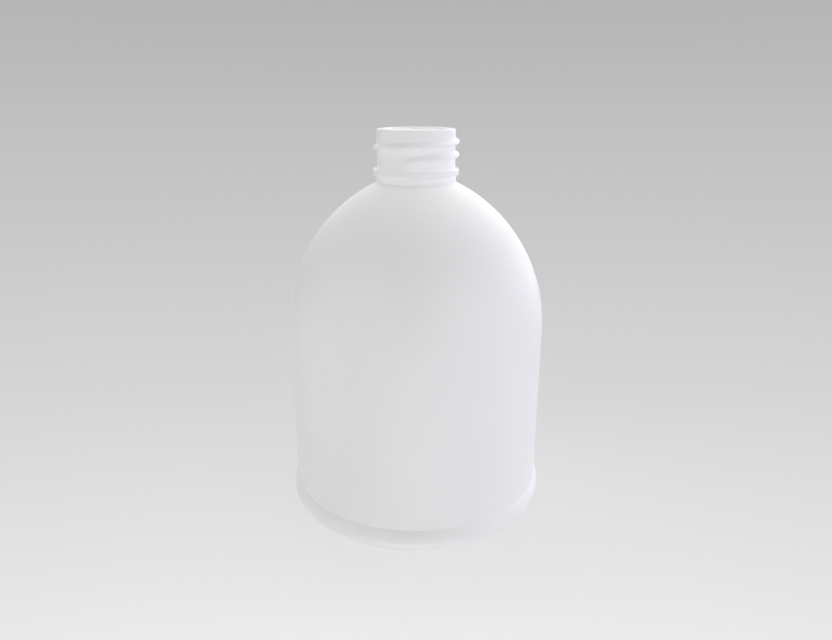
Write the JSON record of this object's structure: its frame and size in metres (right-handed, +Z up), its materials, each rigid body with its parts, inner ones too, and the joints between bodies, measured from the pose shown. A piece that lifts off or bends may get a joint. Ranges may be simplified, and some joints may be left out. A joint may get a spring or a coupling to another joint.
{
  "type": "cosmetic bottle",
  "caption": "Dome-shouldered round bottle with a rolled foot, a straight label panel and an open neck with an outside thread for a screw-on pump or cap.",
  "frame": {"origin": "centre of the standing ring, on the surface the bottle stands on", "axes": "+Z up along the bottle's axis, out of the mouth; the thread starts just left of the front, which faces -Y"},
  "size_m": [0.088, 0.088, 0.127],
  "materials": {
    "bottle": "satin white polyethylene"
  },
  "bodies": {
    "root": {"bottle": "bottle"}
  },
  "joints": []
}
